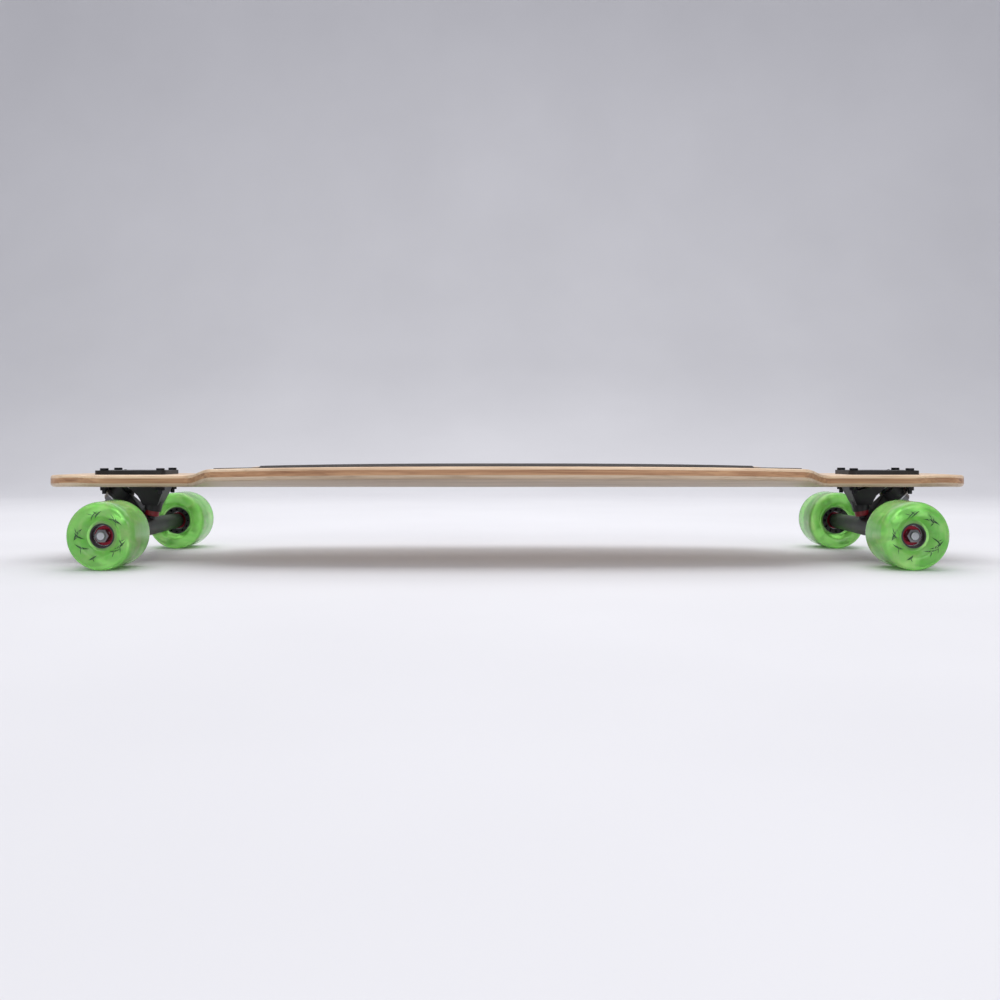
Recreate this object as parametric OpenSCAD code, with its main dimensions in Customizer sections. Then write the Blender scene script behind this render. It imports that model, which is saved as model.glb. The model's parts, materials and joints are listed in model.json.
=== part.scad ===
/* [Deck] */
// Length of the deck, tip to tip
deck_l = 1016; // [1004:1:1080]
// Half width of the deck at mid length
waist_half = 123; // [110:1:130]
// Half width of the necks that carry the trucks
neck_half = 57; // [50:1:62]
// Half width of the nose and tail outboard of the wheels
nose_half = 66; // [60:1:74]
// Thickness of the light top veneer
top_ply_t = 3.6; // [2.5:0.1:4.5]
// Thickness of the brown core
core_t = 5.6; // [4:0.1:7]
// Thickness of the light bottom veneer
bottom_ply_t = 3.8; // [2.5:0.1:4.5]
// Slope of the raised rails beside the flat centre, in degrees
rail_tilt = 9.5; // [4:0.5:12]
// Thickness of the grip tape
grip_t = 1; // [0.8:0.1:1.5]

/* [Wheels] */
// Diameter of a wheel
wheel_d = 70; // [62:1:72]
// Width of a wheel
wheel_w = 51; // [44:1:54]
// Distance between the axles
wheelbase = 825; // [780:1:850]
// Distance between the wheel centres of one truck
track = 233; // [225:1:240]
// Height of the flat deck underside above the axle
ride_h = 47; // [44:0.5:52]

/* [Trucks] */
// Spacing of the mounting bolts along the board
bolt_dx = 63.5; // [58:0.5:66]
// Spacing of the mounting bolts across the board
bolt_dy = 41.3; // [39:0.1:43]
// Lean of the kingpin away from upright, in degrees
kingpin_tilt = 45; // [42:1:48]
// Radius of the axle rod
axle_r = 4; // [3.8:0.1:4.2]
// Radius of the kingpin
kingpin_r = 4.75; // [4.5:0.05:5]

/* [Hidden] */
$fn = 96;

// Heights: the ground is zero, the wheels stand on it
axle_z = wheel_d / 2;
axle_x = wheelbase / 2;
deck_z = axle_z + ride_h;
deck_t = top_ply_t + core_t + bottom_ply_t;
deck_top = deck_z + deck_t;

// Deck outline, as half widths along half the length
nose_corner_r = 34;
shoulder_l = 46;
neck_start = axle_x - 58;
shoulder_start = neck_start - shoulder_l;
flare_l = 30;
flare_end = deck_l / 2 - nose_corner_r - 1.5;
flare_start = flare_end - flare_l;
shoulder_half = waist_half - 17;
flat_half = 52;
rail_blend = 12;
grip_half_l = shoulder_start;
grip_inset = 3;
edge_inset = 1;
// How far a cutting tool reaches past the material
over = 1;
reach = 90;

// Truck layout, measured outboard from the axle
pattern_off = 11.4;
plate_w = 58;
plate_t = 4.6;
plate_corner_r = 8;
plate_z = deck_top;
slot_l = 74;
slot_w = 32;
slot_off = 13;
plate_l = slot_l + 5.5;
bolt_r = 2.4;
bolt_hole_r = 2.7;
bolt_head_r = 4.6;
bolt_head_t = 2.6;
bolt_socket_r = 2;
bolt_socket_floor = 1;
bolt_reach = 9;
nut_r = 4.9;
nut_t = 5;

// Kingpin: its line crosses the seat face at this place, seen from the axle
seat_u = 23.5;
seat_w = 50.5;
bushing_r = 12;
bushing_band = 0.45;
seat_pad_t = 8;
seat_reach = 9;
seat_throat = 15;
board_bushing_t = 8;
road_bushing_t = 8;
ring_t = 10;
ring_r = 14.5;
ring_bore_r = 7.2;
ring_recess = 3;
ring_clear = 12;
web_reach = 11;
web_tip_r = 3;
web_root_r = 9.5;
web_half = 19;
web_inset = 0.8;
washer_t = 1.6;
cup_washer_r = 13;
king_nut_r = 9;
king_nut_t = 7;
king_head_r = 7.5;
king_head_t = 3;
king_seat = 9.5;
king_thread = 3;
king_gap = 0.3;
bushing_gap = 0.1;
ring_start = washer_t + board_bushing_t - ring_recess;
stack_end = ring_start + ring_t - ring_recess + road_bushing_t;
king_l = king_seat + stack_end + washer_t + king_nut_t + king_thread;

// Pivot: a ball-ended pin of the hanger in a urethane cup of the baseplate
pivot_u = -4;
pivot_w = 16.5;
pivot_lean = 12;
pivot_ball_r = 4.4;
cup_r = 6.6;
cup_lip_r = 7.8;
cup_depth = 8;
cup_lip_h = 4;
tower_tip_r = 9.4;
tower_back = 22;
tower_back_z = 44;
tower_mouth = 8;
tower_core_w = 13;
tower_w = 27;
tower_taper_z = 40;
tower_foot_half = 8;
tower_foot_z = 18;
cup_backing = 6;
pocket_gap = 2.2;
pocket_end = 1.8;
pocket_back = 6;
pin_r = 3.4;
pin_root_r = 6.2;
fit = 0.05;

// Hanger and axle
hanger_half = track / 2 - wheel_w / 2 + 6;
hanger_mid_r = 10.5;
hanger_end_r = 9;
bearing_r = 11;
bearing_w = 7;
core_outer_r = 16.5;
core_rim_r = 12.8;
core_step = 2;
core_web_r = 8.5;
core_half = 18;
bearing_in = 8.5;
race_t = 0.9;
inner_race_r = 6.2;
wheel_lip = 6;
sleeve_r = 5;
shield_inset = 0.5;
spacer_r = inner_race_r - 0.7;
washer_gap = 1;
// Distance from the inner bearing to the end face of the hanger
inner_gap = track / 2 - bearing_in - bearing_w / 2 - hanger_half;
relief_ring_r = 13.8;
relief_r = 1.5;
relief_depth = 5;
axle_nut_r = 7.4;
axle_nut_t = 6.5;
axle_end = 2;
axle_half = track / 2 + bearing_in + bearing_w / 2 + washer_gap + axle_nut_t + axle_end;

function smooth(t) = t * t * (3 - 2 * t);
function mix(a, b, t) = a + (b - a) * t;
// Half width of the deck at a distance x from mid length
function half_w(x) =
  x < shoulder_start ? mix(waist_half, shoulder_half, pow(x / shoulder_start, 2.6)) :
  x < neck_start ? mix(shoulder_half, neck_half, smooth((x - shoulder_start) / shoulder_l)) :
  x < flare_start ? neck_half :
  x < flare_end ? mix(neck_half, nose_half, smooth((x - flare_start) / (flare_end - flare_start))) :
  nose_half;

side_x = concat(
  [for (i = [0:11]) shoulder_start * i / 12],
  [for (i = [0:9]) mix(shoulder_start, neck_start, i / 10)],
  [neck_start],
  [for (i = [0:5]) mix(flare_start, flare_end, i / 5)]
);
// One quarter of the outline, from mid length round the tip, set in by d
function quarter(d) = concat(
  [for (x = side_x) [x, half_w(x) - d]],
  [for (a = [90:-10:0]) [
    deck_l / 2 - nose_corner_r + (nose_corner_r - d) * cos(a),
    nose_half - nose_corner_r + (nose_corner_r - d) * sin(a)]]
);
function reversed(v) = [for (i = [len(v) - 1:-1:0]) v[i]];
function outline(d) = let (q = quarter(d)) concat(
  q,
  [for (p = reversed(q)) [p[0], -p[1]]],
  [for (p = q) [-p[0], -p[1]]],
  [for (p = reversed(q)) [-p[0], p[1]]]
);

// Height of the concave above its flat centre at a distance y from the centreline
function concave(y) =
  y < flat_half ? 0 :
  y < flat_half + rail_blend ? tan(rail_tilt) * pow(y - flat_half, 2) / (2 * rail_blend) :
  tan(rail_tilt) * (y - flat_half - rail_blend / 2);
section_y = concat([0, flat_half], [for (i = [1:4]) flat_half + rail_blend * i / 4], [waist_half + over]);
function section_row(z) = concat(
  [for (y = reversed(section_y)) [-y, z + concave(y)]],
  [for (i = [1:len(section_y) - 1]) [section_y[i], z + concave(section_y[i])]]
);

// A layer of the deck between two heights, following the concave
module layer(z0, z1, inset) {
  intersection() {
    linear_extrude(deck_top + reach) polygon(outline(inset));
    rotate([90, 0, 90]) translate([0, 0, -deck_l / 2 - over]) linear_extrude(deck_l + 2 * over)
      polygon(concat(section_row(z0), reversed(section_row(z1))));
  }
}

module rounded_slab(l, w, r, t) {
  translate([-l / 2 + r, -w / 2, 0]) cube([l - 2 * r, w, t]);
  translate([-l / 2, -w / 2 + r, 0]) cube([l, w - 2 * r, t]);
  for (x = [-1, 1]) for (y = [-1, 1])
    translate([x * (l / 2 - r), y * (w / 2 - r), 0]) cylinder(r = r, h = t);
}

// Front truck parts are drawn from the axle, outboard along +X; the rear ones are turned round
module at_truck(end) {
  rotate([0, 0, end > 0 ? 0 : 180]) translate([axle_x, 0, axle_z]) children();
}
module at_bolts() {
  for (x = [-1, 1]) for (y = [-1, 1])
    translate([pattern_off + x * bolt_dx / 2, y * bolt_dy / 2, 0]) children();
}
// Children are drawn along the kingpin: 0 is the seat face, + is toward the nut
module on_kingpin() {
  translate([seat_u, 0, seat_w]) rotate([0, 180 - kingpin_tilt, 0]) children();
}
// Children are drawn from the ball centre of the pivot, + is toward the mouth of the cup
module on_pivot() {
  translate([pivot_u, 0, pivot_w]) rotate([0, 180 - pivot_lean, 0]) children();
}

module truck_cuts() {
  for (end = [-1, 1]) at_truck(end) {
    translate([slot_off, 0, 0]) rounded_slab(slot_l, slot_w, plate_corner_r, reach);
    at_bolts() cylinder(r = bolt_hole_r, h = deck_t + reach);
  }
}

module deck_bottom_ply() {
  color("#b1977f") difference() {
    layer(deck_z, deck_z + bottom_ply_t, edge_inset);
    truck_cuts();
  }
}
module deck_core() {
  color("#a07553") difference() {
    layer(deck_z + bottom_ply_t, deck_top - top_ply_t, 0);
    truck_cuts();
  }
}
module deck_top_ply() {
  color("#c8a48e") difference() {
    layer(deck_top - top_ply_t, deck_top, edge_inset);
    truck_cuts();
  }
}
module grip_tape() {
  color("#3a3432") intersection() {
    layer(deck_top, deck_top + grip_t, grip_inset);
    translate([-grip_half_l, -waist_half, 0]) cube([2 * grip_half_l, 2 * waist_half, 2 * deck_top]);
  }
}

module tower_side(w) {
  // Side shape of the cast body under the plate, with the pivot tower and the kingpin seat
  rotate([90, 0, 0]) translate([0, 0, -w / 2]) linear_extrude(w) polygon([
    [-tower_back, plate_z - axle_z],
    [-tower_back, tower_back_z],
    [pivot_u - tower_tip_r + 0.5, pivot_w + tower_mouth],
    [pivot_u + tower_tip_r - 2, pivot_w + tower_mouth],
    [seat_u - seat_throat, seat_w - seat_throat],
    [seat_u + seat_reach, seat_w + seat_reach],
    [seat_u + seat_reach, plate_z - axle_z]
  ]);
}
module baseplate() {
  color("#1b1b1d") difference() {
    union() {
      translate([slot_off, 0, plate_z - axle_z]) rounded_slab(plate_l, plate_w, plate_corner_r, plate_t);
      tower_side(tower_core_w);
      intersection() {
        tower_side(tower_w);
        rotate([90, 0, 90]) translate([0, 0, -reach]) linear_extrude(2 * reach) polygon([
          [-tower_w / 2, reach], [-tower_w / 2, tower_taper_z], [-tower_foot_half, tower_foot_z],
          [tower_foot_half, tower_foot_z], [tower_w / 2, tower_taper_z], [tower_w / 2, reach]]);
      }
      on_pivot() translate([0, 0, -cup_depth - cup_backing])
        cylinder(r = tower_tip_r, h = cup_depth + cup_backing - 2);
      on_kingpin() translate([0, 0, -seat_pad_t]) cylinder(r = bushing_r + 1.5, h = seat_pad_t);
    }
    at_bolts() cylinder(r = bolt_hole_r, h = reach);
    on_pivot() translate([0, 0, -cup_depth]) cylinder(r = cup_r, h = reach);
    on_kingpin() translate([0, 0, -reach]) cylinder(r = kingpin_r, h = 2 * reach);
    on_kingpin() translate([0, 0, -reach]) cylinder(r = king_head_r + king_gap, h = reach - king_seat);
  }
}

module pivot_cup() {
  color("#b3202c") on_pivot() difference() {
    union() {
      translate([0, 0, -cup_depth]) cylinder(r = cup_r, h = cup_depth - 1);
      translate([0, 0, -2]) cylinder(r = cup_lip_r, h = cup_lip_h + 2);
    }
    sphere(r = pivot_ball_r + fit);
    cylinder(r1 = pivot_ball_r + fit, r2 = pivot_ball_r + 1.6, h = cup_lip_h + 0.01);
  }
}

module kingpin() {
  color("#4a4a4d") on_kingpin() {
    translate([0, 0, -king_seat - king_head_t]) cylinder(r = king_head_r, h = king_head_t);
    translate([0, 0, -king_seat - 0.01]) cylinder(r = kingpin_r, h = king_l);
  }
}
module kingpin_nut() {
  color("#2b2b2d") on_kingpin() translate([0, 0, stack_end + washer_t]) difference() {
    cylinder(r = king_nut_r, h = king_nut_t, $fn = 6);
    translate([0, 0, -over]) cylinder(r = kingpin_r, h = king_nut_t + 2 * over);
  }
}
// A conical or barrel bushing with a bore for the kingpin
module bushing(t, r_far) {
  difference() {
    union() {
      cylinder(r = bushing_r, h = t * bushing_band);
      translate([0, 0, t * bushing_band])
        cylinder(r1 = bushing_r, r2 = r_far, h = t * (1 - bushing_band));
    }
    translate([0, 0, -over]) cylinder(r = kingpin_r + bushing_gap, h = t + 2 * over);
  }
}
module board_bushing() {
  color("#242426") on_kingpin() translate([0, 0, washer_t]) bushing(board_bushing_t, bushing_r - 1);
}
module road_bushing() {
  color("#242426") on_kingpin() translate([0, 0, stack_end]) mirror([0, 0, 1])
    bushing(road_bushing_t, bushing_r - 2.5);
}
module washer() {
  difference() {
    cylinder(r = cup_washer_r, h = washer_t);
    translate([0, 0, -over]) cylinder(r = kingpin_r + bushing_gap, h = washer_t + 2 * over);
  }
}
module board_washer() {
  color("#8a8a8e") on_kingpin() washer();
}
module road_washer() {
  color("#8a8a8e") on_kingpin() translate([0, 0, stack_end]) washer();
}

module deck_bolts() {
  color("#1a1a1a") at_bolts() {
    translate([0, 0, plate_z - axle_z + plate_t]) difference() {
      cylinder(r = bolt_head_r, h = bolt_head_t);
      translate([0, 0, bolt_socket_floor]) cylinder(r = bolt_socket_r, h = bolt_head_t, $fn = 6);
    }
    translate([0, 0, deck_z - axle_z - bolt_reach])
      cylinder(r = bolt_r, h = deck_t + plate_t + bolt_reach + 0.01);
  }
}
module deck_nuts() {
  color("#1a1a1a") at_bolts() translate([0, 0, deck_z - axle_z - nut_t]) difference() {
    cylinder(r = nut_r, h = nut_t, $fn = 6);
    translate([0, 0, -over]) cylinder(r = bolt_r, h = nut_t + 2 * over);
  }
}

module along_axle() {
  rotate([90, 0, 0]) children();
}
module hanger_casting() {
  for (s = [-1, 1]) scale([1, s, 1]) rotate([-90, 0, 0])
    cylinder(r1 = hanger_mid_r, r2 = hanger_end_r, h = hanger_half);
  on_kingpin() translate([0, 0, ring_start]) cylinder(r = ring_r, h = ring_t);
  hull() {
    along_axle() translate([0, 0, -web_half]) cylinder(r = web_root_r, h = 2 * web_half, $fn = 32);
    on_kingpin() translate([web_reach, 0, ring_start + web_inset])
      cylinder(r = web_tip_r, h = ring_t - 2 * web_inset, $fn = 32);
  }
}
module hanger() {
  color("#1d1e20") difference() {
    union() {
      difference() {
        hanger_casting();
        on_pivot() translate([0, 0, -pocket_back])
          cylinder(r = cup_lip_r + pocket_gap, h = cup_lip_h + pocket_back + pocket_end);
      }
      on_pivot() sphere(r = pivot_ball_r);
      on_pivot() cylinder(r1 = pin_r, r2 = pin_root_r, h = pivot_w);
    }
    on_kingpin() cylinder(r = ring_bore_r, h = reach);
    on_kingpin() translate([0, 0, ring_start - over])
      cylinder(r = bushing_r + king_gap, h = ring_recess + over);
    on_kingpin() translate([0, 0, ring_start + ring_t - ring_recess])
      cylinder(r = bushing_r + king_gap, h = ring_recess + ring_clear);
    along_axle() translate([0, 0, -hanger_half - over])
      cylinder(r = axle_r, h = 2 * (hanger_half + over));
  }
}
module axle() {
  color("#9b9ca0") along_axle() translate([0, 0, -axle_half]) cylinder(r = axle_r, h = 2 * axle_half);
}

// Wheel parts are drawn about the wheel centre, outboard along +Y on the left side
module at_wheel(end, side) {
  translate([end * axle_x, side * track / 2, axle_z]) rotate([0, 0, side > 0 ? 0 : 180])
    rotate([-90, 0, 0]) children();
}
module tyre() {
  r = wheel_d / 2;
  h = wheel_w / 2;
  color([0.36, 0.83, 0.28, 0.75]) rotate_extrude() polygon(concat(
    [[core_outer_r, -core_half], [core_outer_r, core_step], [core_rim_r, core_step]],
    [[core_rim_r, core_half], [core_rim_r + 2.5, core_half], [core_rim_r + 7, h - 2], [core_rim_r + 10, h]],
    [for (a = [90:-15:0]) [r - wheel_lip + wheel_lip * cos(a), h - wheel_lip + wheel_lip * sin(a)]],
    [for (a = [0:-15:-90]) [r - wheel_lip + wheel_lip * cos(a), -h + wheel_lip + wheel_lip * sin(a)]],
    [[core_outer_r + 7, -h], [core_outer_r + 2, -core_half]]
  ));
}
module core() {
  color("#202022") difference() {
    union() {
      translate([0, 0, -core_half]) cylinder(r = core_outer_r, h = core_half + core_step);
      cylinder(r = core_rim_r, h = core_half);
    }
    translate([0, 0, -core_half - over]) cylinder(r = core_web_r, h = 2 * (core_half + over));
    for (s = [-1, 1]) scale([1, 1, s]) translate([0, 0, bearing_in - bearing_w / 2])
      cylinder(r = bearing_r, h = core_half);
    for (a = [0:30:330]) rotate([0, 0, a]) translate([relief_ring_r, 0, -core_half - over])
      cylinder(r = relief_r, h = relief_depth + over);
  }
}
module bearings() {
  for (s = [-1, 1]) translate([0, 0, s * bearing_in - bearing_w / 2]) children();
}
module races() {
  color("#b9bbbf") bearings() difference() {
    cylinder(r = bearing_r, h = bearing_w);
    translate([0, 0, -over]) cylinder(r = bearing_r - race_t, h = bearing_w + 2 * over);
  }
}
module shields() {
  color("#a3182a") bearings() translate([0, 0, shield_inset]) difference() {
    cylinder(r = bearing_r - race_t, h = bearing_w - 2 * shield_inset);
    translate([0, 0, -over]) cylinder(r = inner_race_r + fit, h = bearing_w + 2 * over);
  }
}
module bearing_sleeve() {
  color("#c4c6ca") difference() {
    union() {
      translate([0, 0, -bearing_in - bearing_w / 2]) cylinder(r = sleeve_r, h = 2 * bearing_in + bearing_w);
      bearings() cylinder(r = inner_race_r, h = bearing_w);
    }
    translate([0, 0, -reach]) cylinder(r = axle_r, h = 2 * reach);
  }
}
module axle_nut() {
  color("#aeb0b4") translate([0, 0, bearing_in + bearing_w / 2 + washer_gap]) difference() {
    cylinder(r = axle_nut_r, h = axle_nut_t, $fn = 6);
    translate([0, 0, -over]) cylinder(r = axle_r, h = axle_nut_t + 2 * over);
  }
}
module speed_rings() {
  color("#c4c6ca") difference() {
    union() {
      translate([0, 0, bearing_in + bearing_w / 2]) cylinder(r = spacer_r, h = washer_gap);
      translate([0, 0, -bearing_in - bearing_w / 2 - inner_gap]) cylinder(r = spacer_r, h = inner_gap);
    }
    translate([0, 0, -reach]) cylinder(r = axle_r, h = 2 * reach);
  }
}

deck_bottom_ply();
deck_core();
deck_top_ply();
grip_tape();
at_truck(1) baseplate();  // front_baseplate
at_truck(1) pivot_cup();  // front_pivot_cup
at_truck(1) kingpin();  // front_kingpin
at_truck(1) kingpin_nut();  // front_kingpin_nut
at_truck(1) board_bushing();  // front_board_bushing
at_truck(1) road_bushing();  // front_road_bushing
at_truck(1) board_washer();  // front_board_washer
at_truck(1) road_washer();  // front_road_washer
at_truck(1) deck_bolts();  // front_deck_bolts
at_truck(1) deck_nuts();  // front_deck_nuts
at_truck(1) hanger();  // front_hanger
at_truck(1) axle();  // front_axle
at_truck(-1) baseplate();  // rear_baseplate
at_truck(-1) pivot_cup();  // rear_pivot_cup
at_truck(-1) kingpin();  // rear_kingpin
at_truck(-1) kingpin_nut();  // rear_kingpin_nut
at_truck(-1) board_bushing();  // rear_board_bushing
at_truck(-1) road_bushing();  // rear_road_bushing
at_truck(-1) board_washer();  // rear_board_washer
at_truck(-1) road_washer();  // rear_road_washer
at_truck(-1) deck_bolts();  // rear_deck_bolts
at_truck(-1) deck_nuts();  // rear_deck_nuts
at_truck(-1) hanger();  // rear_hanger
at_truck(-1) axle();  // rear_axle
at_wheel(1, 1) tyre();  // front_left_tyre
at_wheel(1, 1) core();  // front_left_core
at_wheel(1, 1) races();  // front_left_races
at_wheel(1, 1) shields();  // front_left_shields
at_wheel(1, 1) bearing_sleeve();  // front_left_bearing_sleeve
at_wheel(1, 1) axle_nut();  // front_left_axle_nut
at_wheel(1, 1) speed_rings();  // front_left_speed_rings
at_wheel(1, -1) tyre();  // front_right_tyre
at_wheel(1, -1) core();  // front_right_core
at_wheel(1, -1) races();  // front_right_races
at_wheel(1, -1) shields();  // front_right_shields
at_wheel(1, -1) bearing_sleeve();  // front_right_bearing_sleeve
at_wheel(1, -1) axle_nut();  // front_right_axle_nut
at_wheel(1, -1) speed_rings();  // front_right_speed_rings
at_wheel(-1, 1) tyre();  // rear_left_tyre
at_wheel(-1, 1) core();  // rear_left_core
at_wheel(-1, 1) races();  // rear_left_races
at_wheel(-1, 1) shields();  // rear_left_shields
at_wheel(-1, 1) bearing_sleeve();  // rear_left_bearing_sleeve
at_wheel(-1, 1) axle_nut();  // rear_left_axle_nut
at_wheel(-1, 1) speed_rings();  // rear_left_speed_rings
at_wheel(-1, -1) tyre();  // rear_right_tyre
at_wheel(-1, -1) core();  // rear_right_core
at_wheel(-1, -1) races();  // rear_right_races
at_wheel(-1, -1) shields();  // rear_right_shields
at_wheel(-1, -1) bearing_sleeve();  // rear_right_bearing_sleeve
at_wheel(-1, -1) axle_nut();  // rear_right_axle_nut
at_wheel(-1, -1) speed_rings();  // rear_right_speed_rings
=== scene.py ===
# %% [markdown]
# # A drop-through longboard
# This lesson dresses a finished model of a longboard: a laminated wooden deck with raised rails,
# grip on top, two cast steering trucks that hang through slots, and four cast urethane wheels.
# The first cell loads the model, and every later piece takes its place from it.

# %% Load the model
import bmesh
import bpy
import json
import math
import random
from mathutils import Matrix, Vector

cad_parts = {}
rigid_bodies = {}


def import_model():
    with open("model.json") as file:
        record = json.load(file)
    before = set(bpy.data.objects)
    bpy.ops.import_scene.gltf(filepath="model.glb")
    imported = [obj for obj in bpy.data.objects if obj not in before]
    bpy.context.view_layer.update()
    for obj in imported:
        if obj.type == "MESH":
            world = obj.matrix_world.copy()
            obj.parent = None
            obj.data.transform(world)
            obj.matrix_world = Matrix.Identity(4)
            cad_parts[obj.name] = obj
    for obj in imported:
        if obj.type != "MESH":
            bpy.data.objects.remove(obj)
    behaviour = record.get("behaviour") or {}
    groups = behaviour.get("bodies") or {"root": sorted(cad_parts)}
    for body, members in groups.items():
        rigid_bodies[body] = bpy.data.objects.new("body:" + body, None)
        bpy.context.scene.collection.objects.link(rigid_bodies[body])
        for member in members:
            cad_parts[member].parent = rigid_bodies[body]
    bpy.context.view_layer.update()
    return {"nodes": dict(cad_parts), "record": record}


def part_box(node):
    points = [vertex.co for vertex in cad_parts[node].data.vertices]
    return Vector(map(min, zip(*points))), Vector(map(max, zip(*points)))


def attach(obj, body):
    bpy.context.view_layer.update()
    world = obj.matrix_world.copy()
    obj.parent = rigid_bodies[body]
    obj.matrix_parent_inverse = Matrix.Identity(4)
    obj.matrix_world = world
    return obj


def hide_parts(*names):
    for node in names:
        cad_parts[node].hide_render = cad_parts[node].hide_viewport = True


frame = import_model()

nodes = frame["nodes"]
print("nodes loaded:", len(nodes))

# %% [markdown]
# A camera comes first, so that each later step can be looked at. It stands a little above the
# deck and looks level along the width of the board. A small downward shift of the frame keeps
# the board's long sides straight, as a shift lens does.

# %% Camera
camera_data = bpy.data.cameras.new("camera")
camera_data.lens = 35.57
camera_data.sensor_width = 36.0
camera_data.shift_y = -0.0467
camera = bpy.data.objects.new("camera", camera_data)
camera.location = (-0.008, -1.1384, 0.119)
camera.rotation_euler = (math.radians(90), 0, 0)
bpy.context.scene.collection.objects.link(camera)
bpy.context.scene.camera = camera
print("camera at", tuple(camera.location))

# %% [markdown]
# Surfaces are made from nodes, and a few helpers keep the later cells short. One starts a
# material with a Principled shader, and one runs noise over the piece's own coordinates,
# stretched along each axis. The others turn such a value into colours, bumps or roughness.
# A last helper puts a finished mesh into the scene.

# %% Material and mesh helpers
def new_material(name, roughness=0.5, metallic=0.0):
    material = bpy.data.materials.new(name)
    material.use_nodes = True
    shader = material.node_tree.nodes["Principled BSDF"]
    shader.inputs["Roughness"].default_value = roughness
    shader.inputs["Metallic"].default_value = metallic
    return material, shader


def own_noise(material, stretch, detail=4.0, distortion=0.0):
    tree = material.node_tree
    place = tree.nodes.new("ShaderNodeTexCoord")
    mapping = tree.nodes.new("ShaderNodeMapping")
    mapping.inputs["Scale"].default_value = stretch
    noise = tree.nodes.new("ShaderNodeTexNoise")
    noise.inputs["Scale"].default_value = 1.0
    noise.inputs["Detail"].default_value = detail
    noise.inputs["Distortion"].default_value = distortion
    tree.links.new(place.outputs["Object"], mapping.inputs["Vector"])
    tree.links.new(mapping.outputs["Vector"], noise.inputs["Vector"])
    return noise.outputs["Fac"]


def colours(material, value, stops):
    ramp = material.node_tree.nodes.new("ShaderNodeValToRGB")
    ramp.color_ramp.elements[0].position = stops[0][0]
    ramp.color_ramp.elements[0].color = (*stops[0][1], 1)
    ramp.color_ramp.elements[1].position = stops[-1][0]
    ramp.color_ramp.elements[1].color = (*stops[-1][1], 1)
    for position, colour in stops[1:-1]:
        ramp.color_ramp.elements.new(position).color = (*colour, 1)
    material.node_tree.links.new(value, ramp.inputs["Fac"])
    return ramp.outputs["Color"]


def mixed(material, first, second, amount, blend="MULTIPLY"):
    node = material.node_tree.nodes.new("ShaderNodeMix")
    node.data_type = "RGBA"
    node.blend_type = blend
    node.inputs["Factor"].default_value = amount
    material.node_tree.links.new(first, node.inputs[6])
    material.node_tree.links.new(second, node.inputs[7])
    return node.outputs[2]


def bump(material, shader, value, distance, strength=0.5):
    node = material.node_tree.nodes.new("ShaderNodeBump")
    node.inputs["Distance"].default_value = distance
    node.inputs["Strength"].default_value = strength
    material.node_tree.links.new(value, node.inputs["Height"])
    material.node_tree.links.new(node.outputs["Normal"], shader.inputs["Normal"])


def roughness_from(material, shader, value, low, high):
    node = material.node_tree.nodes.new("ShaderNodeMapRange")
    node.inputs["To Min"].default_value = low
    node.inputs["To Max"].default_value = high
    material.node_tree.links.new(value, node.inputs["Value"])
    material.node_tree.links.new(node.outputs["Result"], shader.inputs["Roughness"])


def place_mesh(name, mesh, material):
    mesh.materials.append(material)
    piece = bpy.data.objects.new(name, mesh)
    bpy.context.scene.collection.objects.link(piece)
    return piece


def smoothed(mesh):
    for polygon in mesh.polygons:
        polygon.use_smooth = True


print("material helpers ready")

# %% [markdown]
# The deck is pressed from sheets of wood whose grain runs along the board. Noise stretched
# long and thin gives the streaks, and a second, finer noise gives the pores. The two outer
# veneers are pale maple, and the core is a browner, coarser wood. The underside veneer is the
# same maple in darker colours, which paint the shade that falls under the deck.

# %% Wood materials
def wood(name, pale, middle, dark, streak, pore_depth):
    material, shader = new_material(name, roughness=0.42)
    grain = own_noise(material, (5, streak, streak * 1.6), detail=6, distortion=0.6)
    fibre = own_noise(material, (28, 700, 700), detail=3)
    broad = own_noise(material, (3, 9, 30), detail=2)
    base = colours(material, grain, [(0.30, dark), (0.48, middle), (0.66, pale)])
    fine = colours(material, fibre, [(0.32, (0.70, 0.66, 0.62)), (0.52, (1, 1, 1))])
    tone = colours(material, broad, [(0.35, (0.86, 0.84, 0.82)), (0.65, (1, 1, 1))])
    streaked = mixed(material, base, fine, 0.7)
    toned = mixed(material, streaked, tone, 0.8)
    material.node_tree.links.new(toned, shader.inputs["Base Color"])
    roughness_from(material, shader, fibre, 0.34, 0.52)
    bump(material, shader, fibre, pore_depth, 0.35)
    shader.inputs["Coat Weight"].default_value = 0.25
    shader.inputs["Coat Roughness"].default_value = 0.22
    return material


maple = wood("maple_veneer", pale=(0.86, 0.66, 0.46), middle=(0.78, 0.56, 0.37),
             dark=(0.66, 0.44, 0.27), streak=95, pore_depth=0.00012)
core_brown = wood("brown_core", pale=(0.58, 0.33, 0.17), middle=(0.44, 0.23, 0.11),
                  dark=(0.30, 0.14, 0.06), streak=160, pore_depth=0.00016)
# Painted shade: the same maple as the top veneer, given darker colours for the shade under the
# deck.
underside_maple_painted_shade = wood("maple_underside_painted_shade", pale=(0.66, 0.52, 0.38), middle=(0.58, 0.45, 0.32),
                   dark=(0.47, 0.35, 0.24), streak=80, pore_depth=0.00012)
print("woods:", maple.name, core_brown.name, underside_maple_painted_shade.name)

# %% [markdown]
# The grip is a sheet of black abrasive grains in resin. Fine cells make the grains, their
# height makes a strong bump, and broad noise leaves a faint dusty wear where feet stand.

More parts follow.
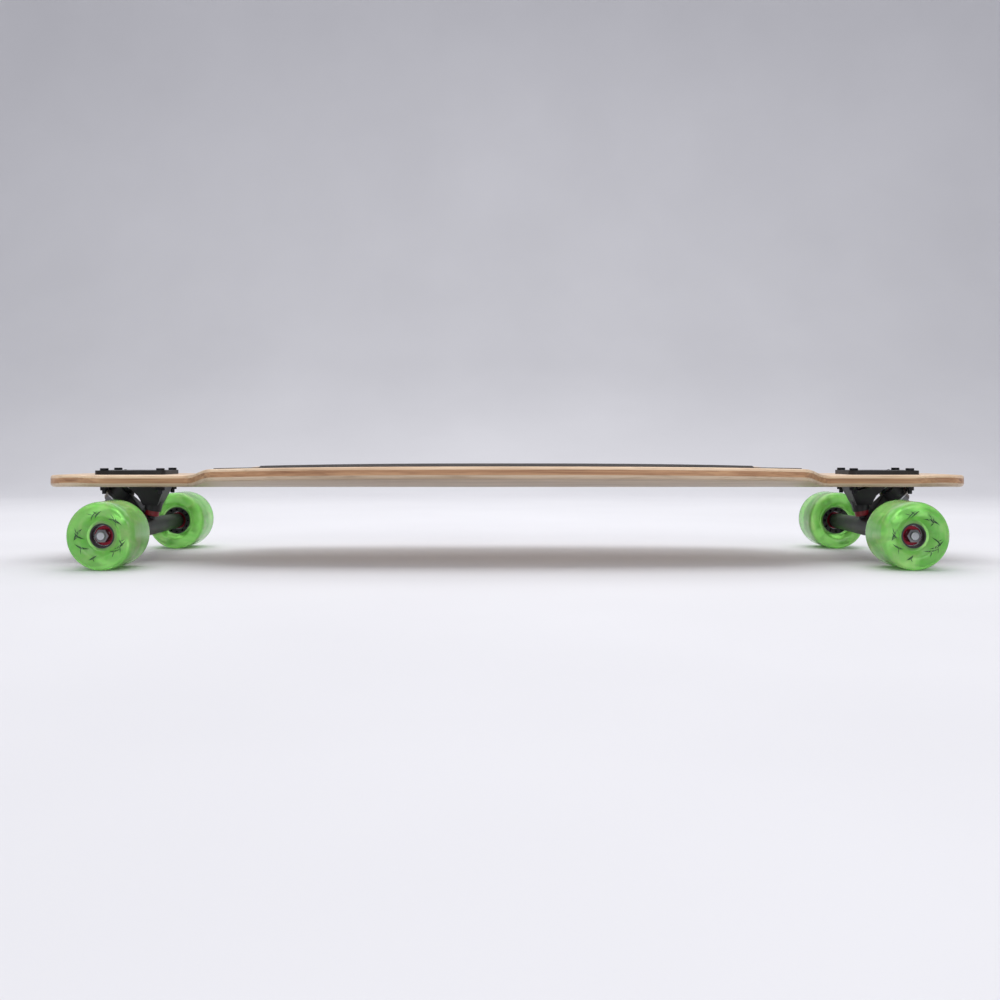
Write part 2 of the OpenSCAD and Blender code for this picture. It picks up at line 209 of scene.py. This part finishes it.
# %% Grip material
def grip_finish():
    material, shader = new_material("abrasive_grip", roughness=0.9)
    tree = material.node_tree
    place = tree.nodes.new("ShaderNodeTexCoord")
    cells = tree.nodes.new("ShaderNodeTexVoronoi")
    cells.inputs["Scale"].default_value = 1500
    tree.links.new(place.outputs["Object"], cells.inputs["Vector"])
    wear = own_noise(material, (7, 14, 14), detail=5)
    grains = colours(material, cells.outputs["Distance"],
                     [(0.1, (0.055, 0.048, 0.046)), (0.8, (0.016, 0.014, 0.014))])
    dust = colours(material, wear, [(0.40, (1, 1, 1)), (0.75, (1.9, 1.75, 1.65))])
    tree.links.new(mixed(material, grains, dust, 0.8), shader.inputs["Base Color"])
    roughness_from(material, shader, cells.outputs["Distance"], 0.68, 0.98)
    bump(material, shader, cells.outputs["Distance"], 0.0005, 0.8)
    return material


grip = grip_finish()
print("grip ready")

# %% [markdown]
# The deck's outline is wide between the trucks, sweeps in to two necks so that the wheels can
# turn beside it, and flares again at nose and tail. It is one rule, the half width at each
# distance from the middle, with round corners at the tips, so it stays smooth at any spacing.

# %% Deck outline
half_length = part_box("deck_core")[1][0]
waist_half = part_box("deck_core")[1][1]
neck_half = 0.057
nose_half = 0.066
corner_r = 0.034
axle_x = (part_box("front_axle")[0][0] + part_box("front_axle")[1][0]) / 2
neck_start = axle_x - 0.058
shoulder_start = axle_x - 0.104
flare_end = half_length - corner_r - 0.0015
flare_start = flare_end - 0.030
shoulder_half = waist_half - 0.017


def smooth_step(t):
    t = min(max(t, 0.0), 1.0)
    return t * t * (3 - 2 * t)


def half_width(x):
    if x < shoulder_start:
        return waist_half + (shoulder_half - waist_half) * (x / shoulder_start) ** 2.6
    if x < neck_start:
        part = smooth_step((x - shoulder_start) / (neck_start - shoulder_start))
        return shoulder_half + (neck_half - shoulder_half) * part
    part = smooth_step((x - flare_start) / (flare_end - flare_start))
    return neck_half + (nose_half - neck_half) * part


def quarter_outline(inset):
    points = []
    steps = 84
    straight_end = half_length - corner_r
    for i in range(steps):
        x = straight_end * i / steps
        points.append((x, half_width(x) - inset))
    radius = corner_r - inset
    for i in range(13):
        a = math.radians(90 - 90 * i / 12)
        y = nose_half - corner_r + radius * math.sin(a)
        points.append((straight_end + radius * math.cos(a), y))
    return points


def deck_outline(inset):
    quarter = quarter_outline(inset)
    right = quarter + [(x, -y) for x, y in reversed(quarter)][:-1]
    left = [(-x, -y) for x, y in right]
    return right + [(x, y) for x, y in left]


print("outline points:", len(deck_outline(0)))

# %% [markdown]
# Pressing raises the two long edges a little above the flat middle, so that a rider's feet
# feel the rail. Each layer is first made flat and then lifted by this rule. To be able to
# bend, it is cut along the board by a set of upright planes.

# %% Concave
flat_half = 0.052
rail_blend = 0.012
rail_slope = math.tan(math.radians(9.5))


def concave(y):
    y = abs(y)
    if y < flat_half:
        return 0.0
    if y < flat_half + rail_blend:
        return rail_slope * (y - flat_half) ** 2 / (2 * rail_blend)
    return rail_slope * (y - flat_half - rail_blend / 2)


print("rise at the edge:", round(concave(waist_half) * 1000, 1), "mm")


# %% [markdown]
# The trucks hang through rounded slots, and four bolts pass on either side. Both kinds of
# opening are closed loops of points that each layer leaves open.

# %% Slots and bolt holes
slot_length = 0.074
slot_width = 0.032
slot_centre = axle_x + 0.013
slot_corner = 0.008
hole_r = 0.0027
bolt_centre = axle_x + 0.0114
bolt_dx = 0.0635
bolt_dy = 0.0413


def rounded_rectangle(cx, length, width, radius, steps=6):
    points = []
    corners = [(1, 1, 0), (-1, 1, 90), (-1, -1, 180), (1, -1, 270)]
    for sx, sy, start in corners:
        for i in range(steps + 1):
            a = math.radians(start + 90 * i / steps)
            x = cx + sx * (length / 2 - radius) + radius * math.cos(a)
            y = sy * (width / 2 - radius) + radius * math.sin(a)
            points.append((x, y))
    return points


def circle(cx, cy, radius, steps=20):
    angles = [math.tau * i / steps for i in range(steps)]
    return [(cx + radius * math.cos(a), cy + radius * math.sin(a)) for a in angles]


def deck_openings():
    loops = []
    for end in (1, -1):
        loops.append(rounded_rectangle(end * slot_centre, slot_length, slot_width, slot_corner))
        for sx in (-1, 1):
            for sy in (-1, 1):
                cx = end * bolt_centre + sx * bolt_dx / 2
                loops.append(circle(cx, sy * bolt_dy / 2, hole_r))
    return loops


print("openings in the deck:", len(deck_openings()))

# %% [markdown]
# One helper makes every layer: loops of the outline are stacked from the lower face to the
# upper one, each set in a little where the edge is round, and bridged. The openings become
# straight walls, and the two faces are filled between all the loops.

# %% Layer builder
def add_loop(bm, points, z):
    verts = [bm.verts.new((x, y, z)) for x, y in points]
    return [bm.edges.new((verts[i], verts[(i + 1) % len(verts)])) for i in range(len(verts))]


def finish_piece(name, bm, material, body, stands_for=(), smooth_angle=32):
    bmesh.ops.remove_doubles(bm, verts=bm.verts, dist=1e-6)
    bmesh.ops.recalc_face_normals(bm, faces=bm.faces)
    mesh = bpy.data.meshes.new(name)
    bm.to_mesh(mesh)
    bm.free()
    smoothed(mesh)
    mesh.set_sharp_from_angle(angle=math.radians(smooth_angle))
    piece = place_mesh(name, mesh, material)
    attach(piece, body)
    if stands_for:
        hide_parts(*stands_for)
    print(name, "faces:", len(mesh.polygons))
    return piece


def layer(name, outline, profile, openings, material, node):
    bm = bmesh.new()
    rims = [add_loop(bm, outline(inset), z) for inset, z in profile]
    for low, high in zip(rims, rims[1:]):
        bmesh.ops.bridge_loops(bm, edges=low + high)
    z_low = profile[0][1]
    z_high = profile[-1][1]
    lower, upper = list(rims[0]), list(rims[-1])
    for points in openings:
        low = add_loop(bm, points, z_low)
        high = add_loop(bm, points, z_high)
        bmesh.ops.bridge_loops(bm, edges=low + high)
        lower += low
        upper += high
    bmesh.ops.triangle_fill(bm, use_beauty=True, use_dissolve=False, edges=lower)
    bmesh.ops.triangle_fill(bm, use_beauty=True, use_dissolve=False, edges=upper)
    cuts = [flat_half + rail_blend * i / 4 for i in range(5)]
    for y in cuts + [-cut for cut in cuts]:
        everything = bm.verts[:] + bm.edges[:] + bm.faces[:]
        bmesh.ops.bisect_plane(bm, geom=everything, plane_co=(0, y, 0), plane_no=(0, 1, 0))
    for vert in bm.verts:
        vert.co.z += concave(vert.co.y)
    return finish_piece(name, bm, material, "deck_body", [node], smooth_angle=24)


print("layer builder ready")

# %% [markdown]
# The deck's three layers meet flush at the edge, and only the outermost corners of the
# outer veneers are rounded, as a router does it after pressing.

# %% Deck layers
def quarter_round(inset, z, radius, up, steps=6):
    """Loops of a rounded rim, from the wall to the face if up, or from the face to the wall."""
    loops = []
    for i in range(steps + 1):
        a = math.radians(90 * i / steps)
        if up:
            loops.append((inset + radius * (1 - math.cos(a)), z - radius + radius * math.sin(a)))
        else:
            loops.append((inset + radius * (1 - math.sin(a)), z + radius - radius * math.cos(a)))
    return loops


deck_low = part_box("deck_bottom_ply")[0][2]
core_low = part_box("deck_core")[0][2]
deck_thickness = 0.013
top_veneer = 0.0036
rim_under, rim_top = 0.0034, 0.0030
deck_high = deck_low + deck_thickness
core_high = deck_high - top_veneer
under_profile = quarter_round(0, deck_low, rim_under, up=False) + [(0, core_low)]
core_profile = [(0, core_low), (0, core_high)]
top_profile = [(0, core_high)] + quarter_round(0, deck_high, rim_top, up=True)
for name, profile, finish, node in (
        ("deck_under_veneer", under_profile, underside_maple_painted_shade, "deck_bottom_ply"),
        ("deck_brown_core", core_profile, core_brown, "deck_core"),
        ("deck_top_veneer", top_profile, maple, "deck_top_ply")):
    layer(name, deck_outline, profile, deck_openings(), finish, node)

# %% [markdown]
# The grip is a thin sheet that covers the wide part of the deck and stops square at the
# shoulders. Its long sides follow the deck's own outline, set in from the rounded rim.

# %% Grip sheet
def grip_outline(inset, steps=72):
    far = [(shoulder_start * (2 * i / steps - 1), 0) for i in range(steps + 1)]
    left = [(x, half_width(abs(x)) - inset) for x, _ in far]
    return left + [(x, -y) for x, y in reversed(left)]


grip_inset = 0.0036
grip_profile = [(grip_inset, deck_high), (grip_inset, deck_high + 0.0007),
                (grip_inset + 0.0004, deck_high + 0.0010)]
layer("grip_sheet", grip_outline, grip_profile, [], grip, "grip_tape")

# %% [markdown]
# Cast and turned parts have crisp shapes already, but a perfectly sharp edge never catches
# the light. This helper copies a part, merges its loose triangles, and rounds its edges with
# a Bevel modifier, so the rounding stays a live, easily changed step.

# %% Rounded copies of hard parts
body_of = {}
for body, members in frame["record"]["behaviour"]["bodies"].items():
    for member in members:
        body_of[member] = body


def softened(node, material, edge=0.0004, segments=2, angle=35):
    source = nodes[node]
    bm = bmesh.new()
    bm.from_mesh(source.data)
    bmesh.ops.remove_doubles(bm, verts=bm.verts, dist=2e-6)
    bmesh.ops.dissolve_limit(bm, angle_limit=math.radians(0.6), verts=bm.verts, edges=bm.edges)
    mesh = bpy.data.meshes.new(node + "_finished")
    bm.to_mesh(mesh)
    bm.free()
    smoothed(mesh)
    mesh.set_sharp_from_angle(angle=math.radians(angle))
    piece = place_mesh(node + "_finished", mesh, material)
    rounding = piece.modifiers.new("edges", "BEVEL")
    rounding.width = edge
    rounding.segments = segments
    rounding.limit_method = "ANGLE"
    rounding.angle_limit = math.radians(angle)
    rounding.harden_normals = True
    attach(piece, body_of[node])
    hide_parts(node)
    return piece


print("parts with a body:", len(body_of))

# %% [markdown]
# The trucks are cast aluminium under black powder coat: a satin finish with a fine orange
# peel. Bolts and nuts are black oxide steel, a little smoother and bluer. Washers and axles
# are zinc plated, and bearing parts are bare steel with fine turning marks.

# %% Metal materials
def powder_coat():
    material, shader = new_material("black_powder_coat", roughness=0.4)
    peel = own_noise(material, (900, 900, 900), detail=2)
    rub = own_noise(material, (60, 60, 60), detail=5)
    base = colours(material, rub, [(0.35, (0.007, 0.007, 0.008)), (0.70, (0.018, 0.018, 0.020))])
    material.node_tree.links.new(base, shader.inputs["Base Color"])
    roughness_from(material, shader, rub, 0.36, 0.56)
    bump(material, shader, peel, 0.0001, 0.4)
    shader.inputs["Specular IOR Level"].default_value = 0.40
    return material


def steel(name, dark, pale, low, high):
    material, shader = new_material(name, roughness=0.3, metallic=1.0)
    marks = own_noise(material, (250, 2200, 250), detail=3)
    stain = own_noise(material, (90, 90, 90), detail=4)
    base = colours(material, stain, [(0.3, dark), (0.7, pale)])
    material.node_tree.links.new(base, shader.inputs["Base Color"])
    roughness_from(material, shader, marks, low, high)
    bump(material, shader, marks, 0.00005, 0.25)
    return material


black_coat = powder_coat()
black_steel = steel("black_oxide_steel", (0.015, 0.015, 0.017), (0.045, 0.045, 0.050), 0.28, 0.45)
bare_steel = steel("bare_steel", (0.42, 0.42, 0.43), (0.66, 0.66, 0.68), 0.18, 0.36)
zinc_steel = steel("zinc_steel", (0.34, 0.35, 0.36), (0.52, 0.53, 0.55), 0.25, 0.42)
dark_steel = steel("dark_zinc_steel", (0.10, 0.10, 0.105), (0.22, 0.22, 0.23), 0.28, 0.45)
print("metals ready")

# %% [markdown]
# Bushings and pivot cups are cast urethane, black and red, a waxy, slightly see-through
# rubber. The bearing shields are red lacquer on pressed steel, and the wheel cores are black
# moulded nylon.

# %% Urethane, lacquer and nylon
def urethane(name, dark, pale):
    material, shader = new_material(name, roughness=0.36)
    cloud = own_noise(material, (120, 120, 120), detail=4)
    base = colours(material, cloud, [(0.3, dark), (0.7, pale)])
    material.node_tree.links.new(base, shader.inputs["Base Color"])
    roughness_from(material, shader, cloud, 0.28, 0.48)
    bump(material, shader, cloud, 0.0002, 0.2)
    shader.inputs["Subsurface Weight"].default_value = 0.25
    shader.inputs["Subsurface Scale"].default_value = 0.003
    return material


def red_lacquer():
    material, shader = new_material("red_lacquer", roughness=0.3, metallic=0.55)
    speck = own_noise(material, (420, 420, 420), detail=4)
    base = colours(material, speck, [(0.3, (0.20, 0.006, 0.020)), (0.7, (0.36, 0.012, 0.035))])
    material.node_tree.links.new(base, shader.inputs["Base Color"])
    roughness_from(material, shader, speck, 0.22, 0.40)
    bump(material, shader, speck, 0.00005, 0.3)
    return material


def black_nylon():
    material, shader = new_material("black_nylon", roughness=0.5)
    grainy = own_noise(material, (650, 650, 650), detail=3)
    base = colours(material, grainy, [(0.3, (0.010, 0.010, 0.012)), (0.7, (0.026, 0.025, 0.028))])
    material.node_tree.links.new(base, shader.inputs["Base Color"])
    roughness_from(material, shader, grainy, 0.40, 0.62)
    bump(material, shader, grainy, 0.0001, 0.3)
    return material


urethane_red = urethane("red_urethane", (0.13, 0.004, 0.010), (0.24, 0.009, 0.020))
urethane_black = urethane("black_urethane", (0.010, 0.010, 0.011), (0.022, 0.022, 0.024))
shield_red = red_lacquer()
nylon = black_nylon()
print("soft and moulded finishes ready")

# %% [markdown]
# Now each hard part of both trucks gets its rounded copy and its finish.

# %% Truck parts
truck_finishes = {
    "baseplate": (black_coat, 0.0008), "hanger": (black_coat, 0.0008),
    "pivot_cup": (urethane_red, 0.0005), "board_bushing": (urethane_black, 0.0008),
    "road_bushing": (urethane_black, 0.0008), "kingpin": (dark_steel, 0.0004),
    "kingpin_nut": (dark_steel, 0.0005), "board_washer": (zinc_steel, 0.0003),
    "road_washer": (zinc_steel, 0.0003), "deck_bolts": (black_steel, 0.0004),
    "deck_nuts": (black_steel, 0.0004), "axle": (zinc_steel, 0.0004),
}
for end in ("front", "rear"):
    for part, (finish, edge) in truck_finishes.items():
        softened(end + "_" + part, finish, edge)
print("truck parts finished:", 2 * len(truck_finishes))

# %% [markdown]
# The wheels are poured from clear urethane tinted green. Light goes in, picks up the tint
# over its path and comes out brighter at the rims, so the shader lets most light through
# and a faint cloud of bubbles and pour marks varies its tone.

# %% Green urethane
def green_urethane():
    material, shader = new_material("green_urethane", roughness=0.12)
    swirl = own_noise(material, (45, 45, 45), detail=5, distortion=1.2)
    base = colours(material, swirl, [
        (0.30, (0.30, 0.86, 0.16)), (0.55, (0.42, 0.94, 0.24)), (0.75, (0.62, 0.98, 0.34))])
    material.node_tree.links.new(base, shader.inputs["Base Color"])
    roughness_from(material, shader, swirl, 0.06, 0.22)
    bump(material, shader, swirl, 0.0002, 0.15)
    shader.inputs["Transmission Weight"].default_value = 0.60
    shader.inputs["IOR"].default_value = 1.46
    shader.inputs["Subsurface Weight"].default_value = 0.55
    shader.inputs["Subsurface Scale"].default_value = 0.012
    shader.inputs["Subsurface Radius"].default_value = (0.4, 1.0, 0.25)
    return material


def print_ink():
    material, shader = new_material("print_ink", roughness=0.4)
    patch = own_noise(material, (300, 300, 300), detail=4)
    base = colours(material, patch, [(0.3, (0.006, 0.030, 0.008)), (0.7, (0.014, 0.060, 0.016))])
    material.node_tree.links.new(base, shader.inputs["Base Color"])
    roughness_from(material, shader, patch, 0.35, 0.55)
    return material


urethane_green = green_urethane()
ink = print_ink()
print("wheel finishes ready")

# %% [markdown]
# A wheel is a turned shape, so its half section is drawn once and spun about the axle. The
# mould leaves a dished face round the hub and rounded lips where face meets tread.

# %% Wheel body
axle_low, axle_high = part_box("front_axle")
tyre_low, tyre_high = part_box("front_left_tyre")
wheel_r = axle_low[2] + (axle_high[2] - axle_low[2]) / 2
wheel_half = (tyre_high[1] - tyre_low[1]) / 2
core_r = 0.0165
rim_r = 0.0128
core_step = 0.002
core_half = 0.018
lip_r = 0.006
# The dished outer face, as (radius, distance from the wheel's middle)
dish = [(rim_r + 0.0025, core_half), (rim_r + 0.0040, core_half + 0.0014),
        (rim_r + 0.0070, wheel_half - 0.002), (rim_r + 0.0083, wheel_half - 0.0007),
        (rim_r + 0.010, wheel_half)]


def wheel_centre(wheel):
    low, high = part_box(wheel + "_tyre")
    return (Vector(low) + Vector(high)) / 2


def lip_and_tread(side):
    """Points from the flat of a face over its lip to the middle of the tread."""
    points = []
    for i in range(9):
        a = math.radians(90 - 90 * i / 8)
        along = wheel_half - lip_r + lip_r * math.sin(a)
        points.append((wheel_r - lip_r + lip_r * math.cos(a), side * along))
    return points


def wheel_section():
    outer = [(core_r, 0.0), (core_r, core_step), (rim_r, core_step), (rim_r, core_half)] + dish
    inner = [(core_r, -core_half), (core_r + 0.002, -core_half),
             (core_r + 0.0055, -wheel_half + 0.0010), (core_r + 0.007, -wheel_half)]
    return outer + lip_and_tread(1) + list(reversed(inner + lip_and_tread(-1))) + [outer[0]]


def turned(section, centre, steps=96):
    """Spins a section of (radius, distance along the axle) points about the axle."""
    bm = bmesh.new()
    verts = [bm.verts.new((centre.x, centre.y + along, centre.z + radius))
             for radius, along in section]
    edges = [bm.edges.new(pair) for pair in zip(verts, verts[1:])]
    bmesh.ops.spin(bm, geom=verts + edges, cent=centre, axis=(0, 1, 0), angle=math.tau,
                   steps=steps, use_merge=True, use_duplicate=False)
    return bm


def wheel_body(wheel):
    centre = wheel_centre(wheel)
    outward = 1 if centre.y > 0 else -1
    bm = turned([(radius, outward * along) for radius, along in wheel_section()], centre)
    return finish_piece(wheel + "_urethane", bm, urethane_green, wheel + "_wheel",
                        [wheel + "_tyre"], smooth_angle=40)


wheels = [end + "_" + side for end in ("front", "rear") for side in ("left", "right")]
for wheel in wheels:
    wheel_body(wheel)

# %% [markdown]
# The outer face carries a printed graphic. Here it is a generic spray of tapering strokes
# and twigs round the hub, each a flat ribbon a hair above the dished face, made along an
# arc that drifts outward. A fixed seed keeps the spray the same each time.

# %% Printed strokes
ink_lift = 0.00008
thinnest = 0.00004
strokes_per_face = 11


def face_height(r):
    """How far the dished outer face stands from the wheel's middle at a radius."""
    for (r0, h0), (r1, h1) in zip(dish, dish[1:]):
        if r < r1:
            return h0 + (h1 - h0) * max(r - r0, 0) / (r1 - r0)
    return wheel_half


def stroke(bm, centre, outward, start, sweep, r_from, r_to, width):
    steps = 14
    previous = None
    for i in range(steps + 1):
        t = i / steps
        a = start + sweep * t
        half = max(width * math.sin(math.pi * t), thinnest)
        r = r_from + (r_to - r_from) * t
        across = Vector((r * sweep, r_from - r_to)).normalized()
        pair = []
        for side in (-half, half):
            rr = r + side * across.x
            aa = a + side * across.y / r
            x = centre.x + rr * math.cos(aa)
            y = centre.y + outward * (face_height(rr) + ink_lift)
            pair.append(bm.verts.new((x, y, centre.z + rr * math.sin(aa))))
        if previous:
            bm.faces.new((previous[0], previous[1], pair[1], pair[0]))
        previous = pair


def print_strokes(wheel):
    centre = wheel_centre(wheel)
    outward = 1 if centre.y > 0 else -1
    picker = random.Random(7)
    bm = bmesh.new()
    inner, outer = rim_r + 0.0042, wheel_r - lip_r - 0.0004
    for branch in range(strokes_per_face):
        start = math.tau * branch / strokes_per_face + picker.uniform(-0.2, 0.2)
        sweep = picker.uniform(0.25, 0.75) * picker.choice((-1, 1))
        r_from = picker.uniform(inner, inner + 0.003)
        r_to = picker.uniform(outer - 0.004, outer - 0.0012)
        stroke(bm, centre, outward, start, sweep, r_from, r_to, picker.uniform(0.0005, 0.0010))
        twig = start + sweep * 0.5
        twig_from = (r_from + r_to) / 2
        twig_width = picker.uniform(0.0003, 0.0006)
        stroke(bm, centre, outward, twig, -sweep * 0.4, twig_from, r_to, twig_width)
    bm.normal_update()
    for face in bm.faces:
        if face.normal.y * outward < 0:
            face.normal_flip()
    mesh = bpy.data.meshes.new(wheel + "_print")
    bm.to_mesh(mesh)
    bm.free()
    piece = place_mesh(wheel + "_print", mesh, ink)
    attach(piece, wheel + "_wheel")


for wheel in wheels:
    print_strokes(wheel)
print("printed wheels:", len(wheels))

# %% [markdown]
# The hub parts are small hard parts again: nylon core, bearing races, shields, sleeve, speed
# rings and axle nut.

# %% Hub parts
hub_finishes = {
    "core": (nylon, 0.0003), "races": (bare_steel, 0.0002), "shields": (shield_red, 0.0002),
    "bearing_sleeve": (bare_steel, 0.0002), "axle_nut": (dark_steel, 0.0005),
    "speed_rings": (zinc_steel, 0.0002),
}
for wheel in wheels:
    for part, (finish, edge) in hub_finishes.items():
        softened(wheel + "_" + part, finish, edge)
print("hub parts finished:", len(wheels) * len(hub_finishes))

# %% [markdown]
# The studio is one pale sheet: a floor that curves up into a wall well behind the board, so
# no corner shows. It is made from a single long edge, extruded along a curve.

# %% Studio
def studio_sheet():
    material, shader = new_material("studio_paper", roughness=0.75)
    mottle = own_noise(material, (2.2, 2.2, 2.2), detail=3)
    base = colours(material, mottle, [(0.3, (0.76, 0.755, 0.78)), (0.7, (0.80, 0.795, 0.82))])
    material.node_tree.links.new(base, shader.inputs["Base Color"])
    bm = bmesh.new()
    reach = 14
    ends = [bm.verts.new((x, -reach, 0)) for x in (-reach, reach)]
    edges = [bm.edges.new(ends)]
    corner_y, curve_r, wall_top = 1.6, 1.4, 5.0
    path = [(corner_y, 0.0)]
    turns = [math.radians(a) for a in range(6, 91, 6)]
    path += [(corner_y + curve_r * math.sin(a), curve_r * (1 - math.cos(a))) for a in turns]
    path += [(corner_y + curve_r, wall_top)]
    for y, z in path:
        made = bmesh.ops.extrude_edge_only(bm, edges=edges)["geom"]
        edges = [item for item in made if isinstance(item, bmesh.types.BMEdge)]
        for vert in (item for item in made if isinstance(item, bmesh.types.BMVert)):
            vert.co.y = y
            vert.co.z = z
    bmesh.ops.recalc_face_normals(bm, faces=bm.faces)
    mesh = bpy.data.meshes.new("studio_sheet")
    bm.to_mesh(mesh)
    bm.free()
    smoothed(mesh)
    place_mesh("studio_sheet", mesh, material)


studio_sheet()

# %% [markdown]
# The light is soft and comes mostly from above, with a large panel in front to open the
# side of the deck, and a pale surround that fills the shadows under it.

# %% Lights
def panel(name, place, aim, width, depth, power):
    data = bpy.data.lights.new(name, "AREA")
    data.shape = "RECTANGLE"
    data.size = width
    data.size_y = depth
    data.energy = power
    lamp = bpy.data.objects.new(name, data)
    lamp.location = place
    lamp.rotation_euler = (Vector(aim) - Vector(place)).to_track_quat("-Z", "Y").to_euler()
    bpy.context.scene.collection.objects.link(lamp)


panel("top_panel", (0, 0.2, 2.2), (0, 0, 0), 3.2, 1.8, 34)
panel("front_panel", (0.3, -2.6, 1.1), (0, 0, 0.05), 2.4, 1.0, 20)
panel("back_panel", (0, 1.5, 1.6), (0, 0, 0.1), 2.6, 0.8, 12)
world = bpy.data.worlds.new("surround")
world.use_nodes = True
world.node_tree.nodes["Background"].inputs["Color"].default_value = (0.92, 0.93, 1.0, 1)
world.node_tree.nodes["Background"].inputs["Strength"].default_value = 0.50
bpy.context.scene.world = world
bpy.context.scene.view_settings.view_transform = "Standard"
